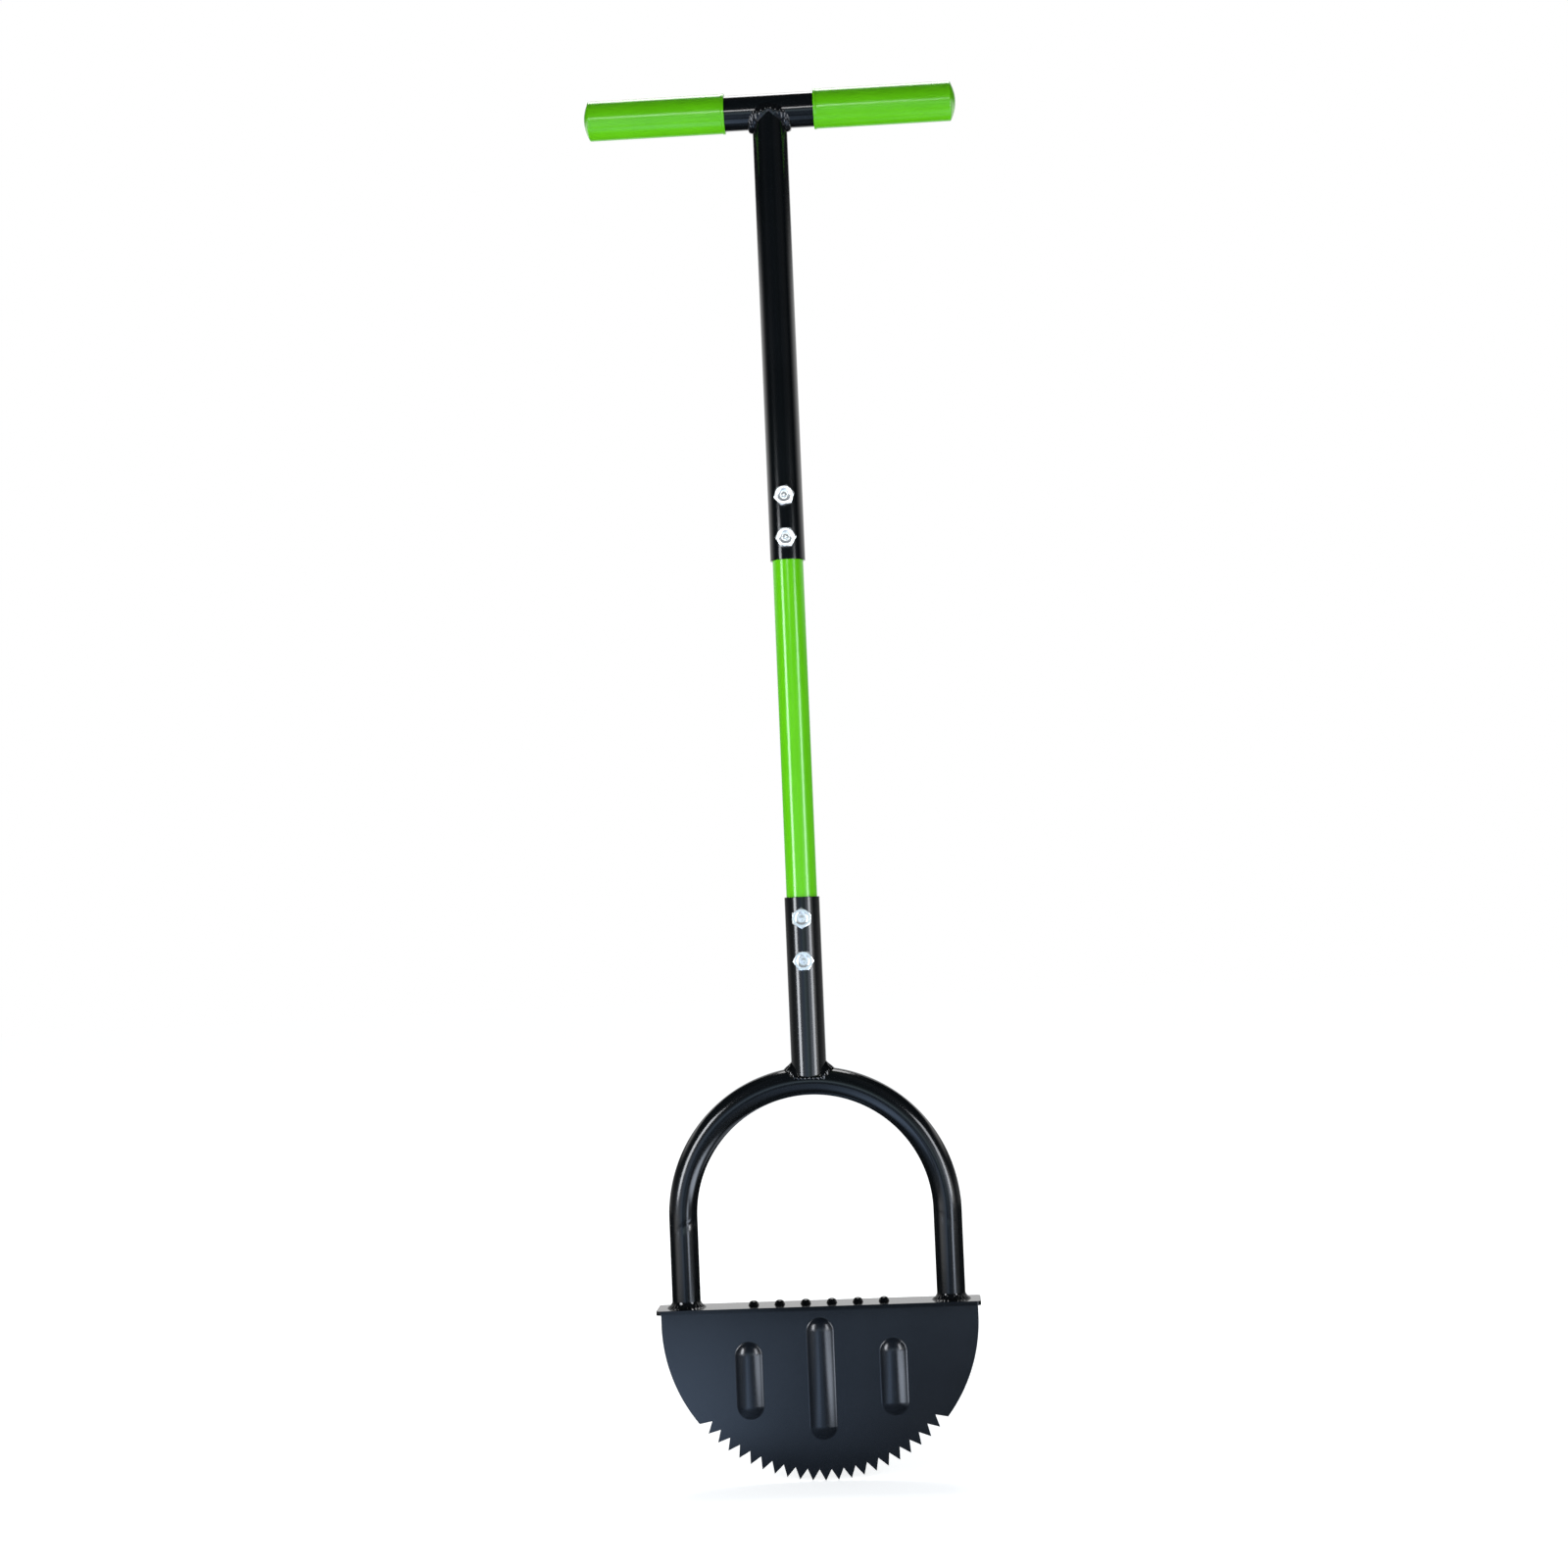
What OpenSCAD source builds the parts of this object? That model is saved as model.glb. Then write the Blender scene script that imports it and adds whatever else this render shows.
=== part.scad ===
// Half moon edger: a toothed half-moon blade on a hoop, with a T handle in three bolted tubes.
// The shaft stands along Z, the front with the bolt heads faces -Y, and the tooth tips touch Z = 0.

/* [Blade] */
// Radius of the half moon, from its centre to the tooth tips
blade_r = 112; // [95:1:130]
// Height of the blade's straight sides above the half moon's centre
blade_side_h = 9; // [5:0.5:20]
// Thickness of the blade
blade_t = 2.5; // [1.5:0.1:3.5]
// Number of notches in the cutting edge
notch_count = 22; // [14:2:26]
// Angle of the toothed arc, in degrees
toothed_angle = 103; // [80:1:120]
// Depth of each notch
notch_depth = 8; // [5:0.5:11]
// Width of the blunt land on each tooth tip
tip_land = 0.4; // [0.2:0.1:1]
// Width of each pressed rib
rib_w = 19.5; // [16:0.5:24]
// How far the ribs stand out at the front
rib_rise = 4; // [2:0.5:6]
// Distance between the ribs' centre lines
rib_pitch = 51; // [40:0.5:56]
// Length of the two side ribs
side_rib_len = 55; // [36:1:64]
// Length of the middle rib
middle_rib_len = 86; // [60:1:90]
// Depth of the ribs' centres below the blade's top edge
rib_drop = 49.5; // [42:0.5:50]

/* [Foot plate] */
// Overhang of the foot plate past each side of the blade
plate_overhang = 2; // [0:0.5:10]
// Depth of the foot plate from front to back
plate_d = 30; // [29:1:50]
// Thickness of the foot plate
plate_t = 3; // [2:0.5:6]
// Radius of the foot plate's corners
plate_corner_r = 3; // [1:0.5:8]
// Number of raised domes on the foot plate
dome_count = 6; // [2:1:8]
// Distance between the domes
dome_pitch = 18.4; // [12:0.2:19.6]
// Diameter of each dome at its foot
dome_d = 7; // [5:0.5:10]
// Height of each dome
dome_rise = 2.6; // [1:0.1:3]

/* [Hoop] */
// Outer diameter of the hoop's tube
hoop_od = 20; // [16:0.5:21]
// Wall of the hoop's tube
hoop_wall = 2; // [1:0.1:3]
// Distance of each leg's centre line from the foot plate's end
leg_inset = 20.5; // [15:0.5:32]
// Length of the hoop's straight legs
leg_h = 63; // [30:1:100]

/* [Handle tubes] */
// Outer diameter of the socket tube and the upper tube
tube_od = 25; // [23.5:0.5:28]
// Wall of the socket tube and the upper tube
tube_wall = 1.4; // [1:0.1:2]
// Wall of the green middle tube
middle_wall = 1.2; // [0.8:0.1:2]
// Radial clearance of the middle tube in the other two
slip_clearance = 0.1; // [0.05:0.05:0.3]
// Height of the socket tube's rim above the hoop's centre line
socket_h = 130; // [110:1:180]
// Length of the middle tube that shows
middle_show = 240; // [120:1:320]
// Length of the middle tube inside the upper tube
upper_overlap = 100; // [60:1:140]
// Gap between the middle tube's foot and the hoop
foot_gap = 20; // [5:1:40]
// Height of the crossbar's centre above the upper tube's rim
upper_h = 325.5; // [150:0.5:400]
// Height of the socket's front and back walls above the hoop's centre line
lip_h = 2.5; // [1:0.5:6]
// Trim of the upper tube's pointed ears below the crossbar's centre line
ear_trim = 3; // [2:0.5:5]

/* [Crossbar and grips] */
// Length of the crossbar's tube
bar_len = 254; // [220:1:320]
// Outer diameter of the crossbar's tube
bar_od = 25; // [25:0.5:30]
// Wall of the crossbar's tube
bar_wall = 1.4; // [1:0.1:2]
// Length of each grip with its domed end
grip_len = 102; // [80:1:105]
// Wall of the grip round the crossbar
grip_wall = 1.45; // [1:0.05:3]
// Radial clearance of the grip on the crossbar
grip_clearance = 0.05; // [0.05:0.05:0.2]
// Thickness of the grip's end at its rim
grip_end_t = 3; // [2:0.5:6]
// Rise of the domed end
grip_dome = 4; // [2:0.5:8]
// Width of the small lip round the grip's inner end
grip_lip_w = 2; // [1:0.5:4]
// Rise of that lip
grip_lip_rise = 0.4; // [0.2:0.1:1]

/* [Fasteners] */
// Thread diameter of the bolts
bolt_d = 8; // [6:0.5:8]
// Length of bolt that stands out of each nut
bolt_tail = 1.5; // [0.5:0.5:6]
// Width across the flats of the heads and nuts
hex_af = 13; // [12:0.5:14]
// Height of the bolt heads
head_h = 5.3; // [4:0.1:6]
// Height of the nuts
nut_h = 6.5; // [5:0.1:7]
// Section width of the spring washers
washer_w = 3; // [2:0.1:3.5]
// Thickness of the spring washers
washer_t = 2; // [1.2:0.1:2.4]
// Split of the spring washers
washer_gap = 1.5; // [0.5:0.1:2.5]
// Distance of the nearer bolt from each tube's rim
bolt_edge = 15; // [10:1:25]
// Distance between the two bolts of a pair
bolt_pitch = 30; // [18:1:40]
// Radial clearance of the bolts in the tubes
hole_clearance = 0.25; // [0.1:0.05:0.5]
// Radial clearance of washers and nuts on the bolts
thread_clearance = 0.05; // [0.05:0.05:0.2]
// Turn of each bolt head from the top down, in degrees
head_turns = [12, 0, 30, 0]; // [0:1:60]

/* [Welds] */
// Spread of the leg fillets on the foot plate
leg_weld_w = 4; // [2:0.5:4.5]
// Height of the leg fillets on the legs
leg_weld_h = 5; // [3:0.5:8]
// Leg of the fillet behind the blade
blade_weld_leg = 3; // [2:0.5:5]
// Radius of the bead under the crossbar
bar_bead_r = 2.4; // [1.8:0.1:3]
// Spread of the socket's weld along the hoop
socket_weld_w = 4.5; // [3:0.5:7]
// Height of the socket's weld above the hoop
socket_weld_h = 4.5; // [3:0.5:7]

/* [Hidden] */
$fn = 96;
// Overrun of every cut past the faces it opens
overrun = 5;

// Widths across the head
plate_w = 2 * (blade_r + plate_overhang);
hoop_r = plate_w / 2 - leg_inset;

// Heights from the tooth tips upwards
blade_top_z = blade_r + blade_side_h;
plate_top_z = blade_top_z + plate_t;
arc_z = plate_top_z + leg_h;
hoop_top_z = arc_z + hoop_r;
socket_rim_z = hoop_top_z + socket_h;
upper_rim_z = socket_rim_z + middle_show;
bar_z = upper_rim_z + upper_h;

// Radii, and the bolts' length under the head
hoop_tube_r = hoop_od / 2;
tube_r = tube_od / 2;
tube_bore_r = tube_r - tube_wall;
middle_r = tube_bore_r - slip_clearance;
bar_r = bar_od / 2;
grip_bore_r = bar_r + grip_clearance;
grip_r = grip_bore_r + grip_wall;
bolt_r = bolt_d / 2;
hole_r = bolt_r + hole_clearance;
nut_bore_r = bolt_r + thread_clearance;
hex_corner_r = hex_af / 2 / cos(30);
bolt_len = tube_od + washer_t + nut_h + bolt_tail;

// Bolt heights from the top down: two above the upper rim, two below the socket's rim
bolt_zs = [
    upper_rim_z + bolt_edge + bolt_pitch,
    upper_rim_z + bolt_edge,
    socket_rim_z - bolt_edge,
    socket_rim_z - bolt_edge - bolt_pitch
];

// The pressed ribs are shells of a capsule whose centre lies behind the blade
rib_outer_r = (pow(rib_w / 2, 2) + pow(rib_rise, 2)) / (2 * rib_rise);
rib_inner_r = rib_outer_r - blade_t;
rib_axis_y = rib_outer_r - rib_rise - blade_t / 2;

// Share of a hexagon's flats that its turned chamfer leaves
chamfer_share = 0.94;
// Share of a head's height that its chamfer takes at the corners
chamfer_h_share = 0.16;

// Rings along a weld bead, and sides of the bead's section
bead_rings = 64;
bead_sides = 10;

steel_black = [0.07, 0.08, 0.09];
weld_black = [0.11, 0.12, 0.13];
tube_green = [0.36, 0.78, 0.10];
grip_green = [0.33, 0.70, 0.14];
zinc = [0.76, 0.78, 0.79];

// A tube or rod along Z
module rod(r, low, high) {
    translate([0, 0, low]) cylinder(r = r, h = high - low);
}

module pipe(r, wall, low, high) {
    difference() {
        rod(r, low, high);
        rod(r - wall, low - overrun, high + overrun);
    }
}

// Turns a shape made along Z so that it lies along Y, at a height on the shaft
module along_y(z) {
    translate([0, 0, z]) rotate([-90, 0, 0]) children();
}

// Turns a shape made along Z so that it lies along the crossbar
module along_bar() {
    translate([0, 0, bar_z]) rotate([0, 90, 0]) children();
}

// Clearance holes through the shaft for the bolts of one pair
module bolt_holes(picks) {
    for (i = picks) along_y(bolt_zs[i]) rod(hole_r, -tube_od, tube_od);
}

// A rod with half-ball ends along Z, by its radius and the distance between the balls' centres
module capsule(r, span) {
    rotate_extrude() intersection() {
        union() {
            for (end = [-span / 2, span / 2]) translate([0, end]) circle(r);
            translate([-r, -span / 2]) square([2 * r, span]);
        }
        translate([0, -span]) translate([0, -r]) square([r, 2 * (span + r)]);
    }
}

// The bent tube's bar, solid, by its radius
module hoop_arc(r) {
    translate([0, 0, arc_z]) rotate([90, 0, 0])
        rotate_extrude(angle = 180) translate([hoop_r, 0]) circle(r);
}

// A bead along a closed loop of points round the shaft, each with its own radius
module bead(points, radii) {
    n = len(points);
    rings = [
        for (i = [0 : n - 1])
            let (
                ahead = points[(i + 1) % n] - points[(i + n - 1) % n],
                along = ahead / norm(ahead),
                outward = [points[i][0], points[i][1], 0],
                across = cross(along, outward),
                side = across / norm(across),
                up = cross(side, along)
            )
            for (k = [0 : bead_sides - 1])
                let (a = 360 * k / bead_sides)
                points[i] + radii[i] * (cos(a) * up + sin(a) * side)
    ];
    faces = [
        for (i = [0 : n - 1])
            let (j = (i + 1) % n)
            for (k = [0 : bead_sides - 1])
                let (m = (k + 1) % bead_sides)
                for (half = [0, 1])
                    half == 0
                        ? [i * bead_sides + k, j * bead_sides + m, i * bead_sides + m]
                        : [i * bead_sides + k, j * bead_sides + k, j * bead_sides + m]
    ];
    polyhedron(rings, faces);
}

module blade_outline() {
    pitch = toothed_angle / notch_count;
    land_angle = tip_land / blade_r * 180 / PI;
    root_r = blade_r - notch_depth;
    difference() {
        union() {
            intersection() {
                circle(blade_r);
                translate([-blade_r, -blade_r]) square([2 * blade_r, blade_r]);
            }
            translate([-blade_r, 0]) square([2 * blade_r, blade_side_h]);
        }
        for (i = [0 : notch_count - 1])
            rotate(-90 - toothed_angle / 2 + (i + 0.5) * pitch) {
                half = (pitch - land_angle) / 2;
                root = [root_r, 0];
                tip = [blade_r * cos(half), blade_r * sin(half)];
                reach = 1 + overrun / notch_depth;
                mouth = root + reach * (tip - root);
                polygon([root, mouth, [mouth[0], -mouth[1]]]);
            }
    }
}

module ribs(r) {
    for (i = [-1 : 1])
        translate([i * rib_pitch, rib_axis_y, blade_top_z - rib_drop])
            capsule(r, (i == 0 ? middle_rib_len : side_rib_len) - rib_w);
}

module blade() {
    front = rib_rise + blade_t;
    color(steel_black) difference() {
        union() {
            translate([0, blade_t / 2, blade_r]) rotate([90, 0, 0])
                linear_extrude(blade_t) blade_outline();
            intersection() {
                ribs(rib_outer_r);
                translate([-blade_r, -front, 0]) cube([2 * blade_r, front, blade_top_z]);
            }
        }
        ribs(rib_inner_r);
    }
}

module foot_plate() {
    dome_r = (pow(dome_d / 2, 2) + pow(dome_rise, 2)) / (2 * dome_rise);
    color(steel_black) {
        translate([0, 0, blade_top_z]) linear_extrude(plate_t) {
            inner_w = plate_w - 2 * plate_corner_r;
            inner_d = plate_d - 2 * plate_corner_r;
            square([plate_w, inner_d], center = true);
            square([inner_w, plate_d], center = true);
            for (x = [-inner_w / 2, inner_w / 2], y = [-inner_d / 2, inner_d / 2])
                translate([x, y]) circle(plate_corner_r);
        }
        for (i = [0 : dome_count - 1])
            translate([(i - (dome_count - 1) / 2) * dome_pitch, 0, plate_top_z])
                intersection() {
                    translate([0, 0, dome_rise - dome_r]) sphere(dome_r);
                    rod(dome_d, -plate_t / 2, dome_rise + overrun);
                }
    }
}

module hoop() {
    color(steel_black) difference() {
        union() {
            hoop_arc(hoop_tube_r);
            for (x = [-hoop_r, hoop_r]) translate([x, 0, 0]) rod(hoop_tube_r, plate_top_z, arc_z);
        }
        hoop_arc(hoop_tube_r - hoop_wall);
        for (x = [-hoop_r, hoop_r])
            translate([x, 0, 0]) rod(hoop_tube_r - hoop_wall, plate_top_z - overrun, arc_z);
    }
}

module socket_tube() {
    color(steel_black) difference() {
        pipe(tube_r, tube_wall, hoop_top_z + lip_h, socket_rim_z);
        hoop_arc(hoop_tube_r);
        bolt_holes([2, 3]);
    }
}

module middle_tube() {
    color(tube_green) difference() {
        pipe(middle_r, middle_wall, hoop_top_z + hoop_tube_r + foot_gap, upper_rim_z + upper_overlap);
        bolt_holes([0 : 3]);
    }
}

module upper_tube() {
    color(steel_black) difference() {
        pipe(tube_r, tube_wall, upper_rim_z, bar_z - ear_trim);
        along_bar() rod(bar_r, -bar_len / 2, bar_len / 2);
        bolt_holes([0, 1]);
    }
}

module crossbar() {
    color(steel_black) along_bar() pipe(bar_r, bar_wall, -bar_len / 2, bar_len / 2);
}

// A grip along +Z, as a turned sleeve with a closed, domed end
module grip_sleeve() {
    seat = bar_len / 2;
    rim = seat + grip_end_t;
    apex = rim + grip_dome;
    inner = apex - grip_len;
    dome_r = (pow(grip_r, 2) + pow(grip_dome, 2)) / (2 * grip_dome);
    rotate_extrude() difference() {
        union() {
            translate([0, inner]) square([grip_r, rim - inner]);
            translate([0, inner]) square([grip_r + grip_lip_rise, grip_lip_w]);
            intersection() {
                translate([0, apex - dome_r]) circle(dome_r);
                translate([0, rim]) square([grip_r, grip_dome]);
            }
        }
        translate([0, inner - overrun]) square([grip_bore_r, seat - inner + overrun]);
    }
}

module grip(side) {
    color(grip_green) translate([0, 0, bar_z]) rotate([0, side * 90, 0]) grip_sleeve();
}

// The bead follows the line where the upper tube meets the crossbar, rounded over front and back
module crossbar_weld() {
    stand_off_share = 0.18;
    round_share = 0.4;
    path_r = tube_r + stand_off_share * bar_bead_r;
    reach_r = max(bar_r, tube_r) + round_share * bar_bead_r;
    ts = [for (i = [0 : bead_rings - 1]) 360 * i / bead_rings];
    points = [
        for (t = ts)
            [path_r * cos(t), path_r * sin(t), bar_z - sqrt(pow(reach_r, 2) - pow(path_r * sin(t), 2))]
    ];
    color(weld_black) difference() {
        bead(points, [for (t = ts) bar_bead_r]);
        rod(tube_r, upper_rim_z, bar_z + bar_r);
        along_bar() rod(bar_r, -bar_len / 2, bar_len / 2);
    }
}

// The weld saddles the hoop under the socket: a ring of metal near both tubes, sloped off at its top
module socket_weld() {
    ring_r = tube_r + socket_weld_w;
    low_z = hoop_top_z - lip_h;
    shoulder_z = hoop_top_z + hoop_tube_r;
    color(weld_black) difference() {
        intersection() {
            hoop_arc(hoop_tube_r + socket_weld_h);
            rotate_extrude() polygon([
                [0, low_z], [ring_r, low_z], [ring_r, shoulder_z],
                [tube_r, shoulder_z + socket_weld_h], [0, shoulder_z + socket_weld_h]
            ]);
        }
        hoop_arc(hoop_tube_r);
        rod(tube_r, hoop_top_z + lip_h, socket_rim_z);
    }
}

module leg_weld(side) {
    color(weld_black) translate([side * hoop_r, 0, plate_top_z]) rotate_extrude() difference() {
        translate([hoop_tube_r, 0]) square([leg_weld_w, leg_weld_h]);
        fillet_r = (pow(leg_weld_w, 2) + pow(leg_weld_h, 2)) / (2 * leg_weld_w);
        translate([hoop_tube_r + fillet_r, leg_weld_h]) circle(fillet_r);
    }
}

module blade_weld() {
    length = 2 * (blade_r - plate_corner_r);
    color(weld_black) translate([-length / 2, blade_t / 2, blade_top_z]) rotate([90, 0, 90])
        linear_extrude(length) polygon([[0, 0], [blade_weld_leg, 0], [0, -blade_weld_leg]]);
}

// A hexagon along Z with its corners turned off at one or both ends
module hexagon(h, both) {
    cut_h = h * chamfer_h_share;
    flat_r = hex_af / 2 * chamfer_share;
    low_r = both ? flat_r : hex_corner_r;
    low_h = both ? cut_h : 0;
    intersection() {
        cylinder(r = hex_corner_r, h = h, $fn = 6);
        rotate_extrude() polygon([
            [0, 0], [low_r, 0], [hex_corner_r, low_h],
            [hex_corner_r, h - cut_h], [flat_r, h], [0, h]
        ]);
    }
}

module bolt(i) {
    color(zinc) along_y(bolt_zs[i]) {
        translate([0, 0, -tube_r]) rotate([180, 0, 0]) rotate(head_turns[i]) hexagon(head_h, false);
        rod(bolt_r, -tube_r, bolt_len - tube_r);
    }
}

module spring_washer(i) {
    outer_r = nut_bore_r + washer_w;
    color(zinc) along_y(bolt_zs[i]) difference() {
        pipe(outer_r, washer_w, tube_r, tube_r + washer_t);
        translate([0, -washer_gap / 2, tube_r - overrun])
            cube([outer_r + overrun, washer_gap, washer_t + 2 * overrun]);
    }
}

module hex_nut(i) {
    color(zinc) along_y(bolt_zs[i]) translate([0, 0, tube_r + washer_t]) difference() {
        rotate(head_turns[i]) hexagon(nut_h, true);
        rod(nut_bore_r, -overrun, nut_h + overrun);
    }
}

blade();
foot_plate();
hoop();
socket_tube();
middle_tube();
upper_tube();
crossbar();
grip(-1);  // grip_left
grip(1);  // grip_right
crossbar_weld();
socket_weld();
leg_weld(-1);  // leg_weld_left
leg_weld(1);  // leg_weld_right
blade_weld();
for (i = [0 : 3]) {
    bolt(i);
    spring_washer(i);
    hex_nut(i);
}
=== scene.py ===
# %% [markdown]
# # A half moon edger
# The tool is a steel blade under a foot plate, a bent tube hoop, a long bolted tube handle and a crossbar
# with two sleeve grips. Its CAD model is loaded as a fixed frame, in metres: +Z runs up the shaft, the front
# with the bolt heads looks along -Y, and the tooth tips stand at Z = 0. Every piece made here sits where its
# solid is.

# %% Load the frame
import math

import bmesh
import bpy
from mathutils import Matrix, Vector


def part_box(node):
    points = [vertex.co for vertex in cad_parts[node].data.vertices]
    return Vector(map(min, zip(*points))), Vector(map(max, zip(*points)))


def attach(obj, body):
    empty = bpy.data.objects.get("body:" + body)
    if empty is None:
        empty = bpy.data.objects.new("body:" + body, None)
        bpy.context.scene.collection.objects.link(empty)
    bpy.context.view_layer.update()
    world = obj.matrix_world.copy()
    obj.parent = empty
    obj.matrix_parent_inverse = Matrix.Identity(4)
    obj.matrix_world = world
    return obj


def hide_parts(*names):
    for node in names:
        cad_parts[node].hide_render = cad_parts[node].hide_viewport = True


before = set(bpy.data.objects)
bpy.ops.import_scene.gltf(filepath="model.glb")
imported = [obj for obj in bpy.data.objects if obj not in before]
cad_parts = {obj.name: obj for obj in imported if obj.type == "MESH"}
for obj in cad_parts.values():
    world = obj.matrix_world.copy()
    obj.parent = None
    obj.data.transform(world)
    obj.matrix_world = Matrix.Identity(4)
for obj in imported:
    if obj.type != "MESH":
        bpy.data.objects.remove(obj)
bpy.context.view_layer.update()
scene = bpy.context.scene
scene.view_settings.view_transform = "Standard"
MM = 0.001

# %% [markdown]
# ## Measures
# The sizes come from the boxes of the solids, so that each piece keeps its place when the model changes. Only
# what a box can't tell, such as a wall's thickness, is written down as a number.


# %% Read the measures
def reach(node, axis):
    """The lowest and the highest value of a solid along an axis, 0 for X, 1 for Y and 2 for Z."""
    low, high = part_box(node)
    return low[axis], high[axis]


shaft_r = reach("socket_tube", 0)[1]
middle_r = reach("middle_tube", 0)[1]
socket_low, socket_rim = reach("socket_tube", 2)
middle_low, middle_top = reach("middle_tube", 2)
upper_rim = reach("upper_tube", 2)[0]
bar_low, bar_high = reach("crossbar", 2)
bar_r, bar_z = (bar_high - bar_low) / 2, (bar_high + bar_low) / 2
bar_end = reach("crossbar", 0)[1]
plate_low = reach("blade", 2)[1]
plate_half_w, plate_half_d = reach("foot_plate", 0)[1], reach("foot_plate", 1)[1]
hoop_tube_r = reach("hoop", 1)[1]
hoop_r = reach("hoop", 0)[1] - hoop_tube_r
plate_top, hoop_top = reach("hoop", 2)
arc_z = hoop_top - hoop_tube_r - hoop_r
blade_r = reach("blade", 0)[1]
blade_back = reach("blade", 1)[1]
print("shaft radius in mm:", round(shaft_r / MM, 2), "hoop radius in mm:", round(hoop_r / MM, 2))

# %% [markdown]
# ## Camera
# The photograph was taken with a longish lens, a little to the right of the tool and below the middle of its
# height, with the camera tilted: the shaft leans to the left. A camera could be placed by eye, but these
# values were fitted to the photograph. The turn is yaw, then pitch, then roll.

# %% Set the camera
CAMERA_PLACE = (0.091, -1.850, 0.408)
CAMERA_YAW, CAMERA_PITCH, CAMERA_ROLL = -0.0542, 0.0449, -0.0415
FRAME_PIXELS, FOCAL_PIXELS, SENSOR_MM = 1600, 2658.0, 36.0

lens = bpy.data.cameras.new("product_camera")
lens.sensor_width = SENSOR_MM
lens.lens = FOCAL_PIXELS / FRAME_PIXELS * SENSOR_MM
camera = bpy.data.objects.new("product_camera", lens)
scene.collection.objects.link(camera)
turn = Matrix.Rotation(-CAMERA_YAW, 4, "Z") @ Matrix.Rotation(math.pi / 2 + CAMERA_PITCH, 4, "X")
camera.matrix_world = Matrix.Translation(CAMERA_PLACE) @ turn @ Matrix.Rotation(CAMERA_ROLL, 4, "Z")
scene.camera = camera
print("lens in mm:", round(lens.lens, 1))

# %% [markdown]
# ## Nodes and colours
# A colour picked on a screen is sRGB, and the shaders count in linear light, so one function turns a hex
# value into the linear colour. Another adds a node, sets its values and links its inputs, for every material
# below.


# %% Helpers for materials
def linear(hex_code):
    """The linear colour of an sRGB hex value, with an alpha of 1."""
    parts = [int(hex_code[i : i + 2], 16) / 255 for i in (1, 3, 5)]
    return [p / 12.92 if p <= 0.04045 else ((p + 0.055) / 1.055) ** 2.4 for p in parts] + [1.0]


def add_node(tree, kind, settings=None, links=None):
    """Add a shader node, set its inputs or properties by name, and link its inputs to the given outputs."""
    node = tree.nodes.new("ShaderNode" + kind)
    for name, value in (settings or {}).items():
        if isinstance(name, int) or name in node.inputs:
            node.inputs[name].default_value = value
        else:
            setattr(node, name, value)
    for name, output in (links or {}).items():
        tree.links.new(output, node.inputs[name])
    return node


def empty_tree(owner):
    """Switch a material or a world to nodes, and clear them."""
    owner.use_nodes = True
    owner.node_tree.nodes.clear()
    return owner.node_tree


def new_material(name):
    """An empty node material with its output, its coordinates and its shader."""
    material = bpy.data.materials.new(name)
    tree = empty_tree(material)
    shader = add_node(tree, "BsdfPrincipled")
    add_node(tree, "OutputMaterial", None, {"Surface": shader.outputs["BSDF"]})
    place = add_node(tree, "TexCoord").outputs["Object"]
    return material, tree, shader, place


def grains(size_mm):
    """The scale of a noise whose grains are this many millimetres wide, on coordinates in metres."""
    return 1 / (size_mm * MM)


# %% [markdown]
# ## Floor, backdrop and lamps
# A plain pale floor carries the tool in a white room. Strong lamps could bleach both, but they would bleach
# the tool too. So floor and room are white to the camera, to gloss and through glass, and light the tool only
# dimly, and the lamps set the level. Close to the tool the floor glows less, so that it keeps a soft shadow.

# %% Lay the floor
FLOOR_R, FLOOR_SIDES, FLOOR_GLOW, FLOOR_BOUNCE = 9.0, 64, 0.75, 0.35
SHADE_R, SHADE_END, SHADE_GLOW = 0.35, 0.9, 0.45
WHITE, FLOOR_PAINT = linear("#FFFFFF"), linear("#F4F4F2")


def seen_directly(tree):
    """1 for a ray from the camera, from gloss or through glass, and 0 for a ray that only lights."""
    path = add_node(tree, "LightPath")
    rays = [path.outputs[f"Is {kind} Ray"] for kind in ("Camera", "Glossy", "Transmission")]
    either = add_node(tree, "Math", {"operation": "MAXIMUM"}, {0: rays[0], 1: rays[1]})
    any_ray = add_node(tree, "Math", {"operation": "MAXIMUM"}, {0: either.outputs[0], 1: rays[2]})
    return any_ray.outputs[0]


bpy.ops.object.select_all(action="DESELECT")
bpy.ops.mesh.primitive_circle_add(vertices=FLOOR_SIDES, radius=FLOOR_R, fill_type="NGON")
floor = bpy.context.object
floor.name = "studio_floor"
floor_paint = bpy.data.materials.new("matt white floor paint")
tree = empty_tree(floor_paint)
spot = add_node(tree, "TexCoord").outputs["Object"]
from_tool = add_node(tree, "VectorMath", {"operation": "LENGTH"}, {0: spot}).outputs["Value"]
paler = add_node(tree, "MapRange",
                 {"From Min": SHADE_R, "From Max": SHADE_END, "To Min": SHADE_GLOW, "To Max": FLOOR_GLOW},
                 {"Value": from_tool})
glow = add_node(tree, "MapRange", {"To Min": FLOOR_BOUNCE},
                {"Value": seen_directly(tree), "To Max": paler.outputs["Result"]})
white = add_node(tree, "Emission", {"Color": WHITE}, {"Strength": glow.outputs["Result"]})
matt = add_node(tree, "BsdfDiffuse", {"Color": FLOOR_PAINT})
both = add_node(tree, "AddShader", None, {0: white.outputs[0], 1: matt.outputs[0]})
add_node(tree, "OutputMaterial", None, {"Surface": both.outputs[0]})
floor.data.materials.append(floor_paint)
print("floor radius in m:", FLOOR_R)

# %% Paint the room
ROOM_FILL = linear("#8F9499")

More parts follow.
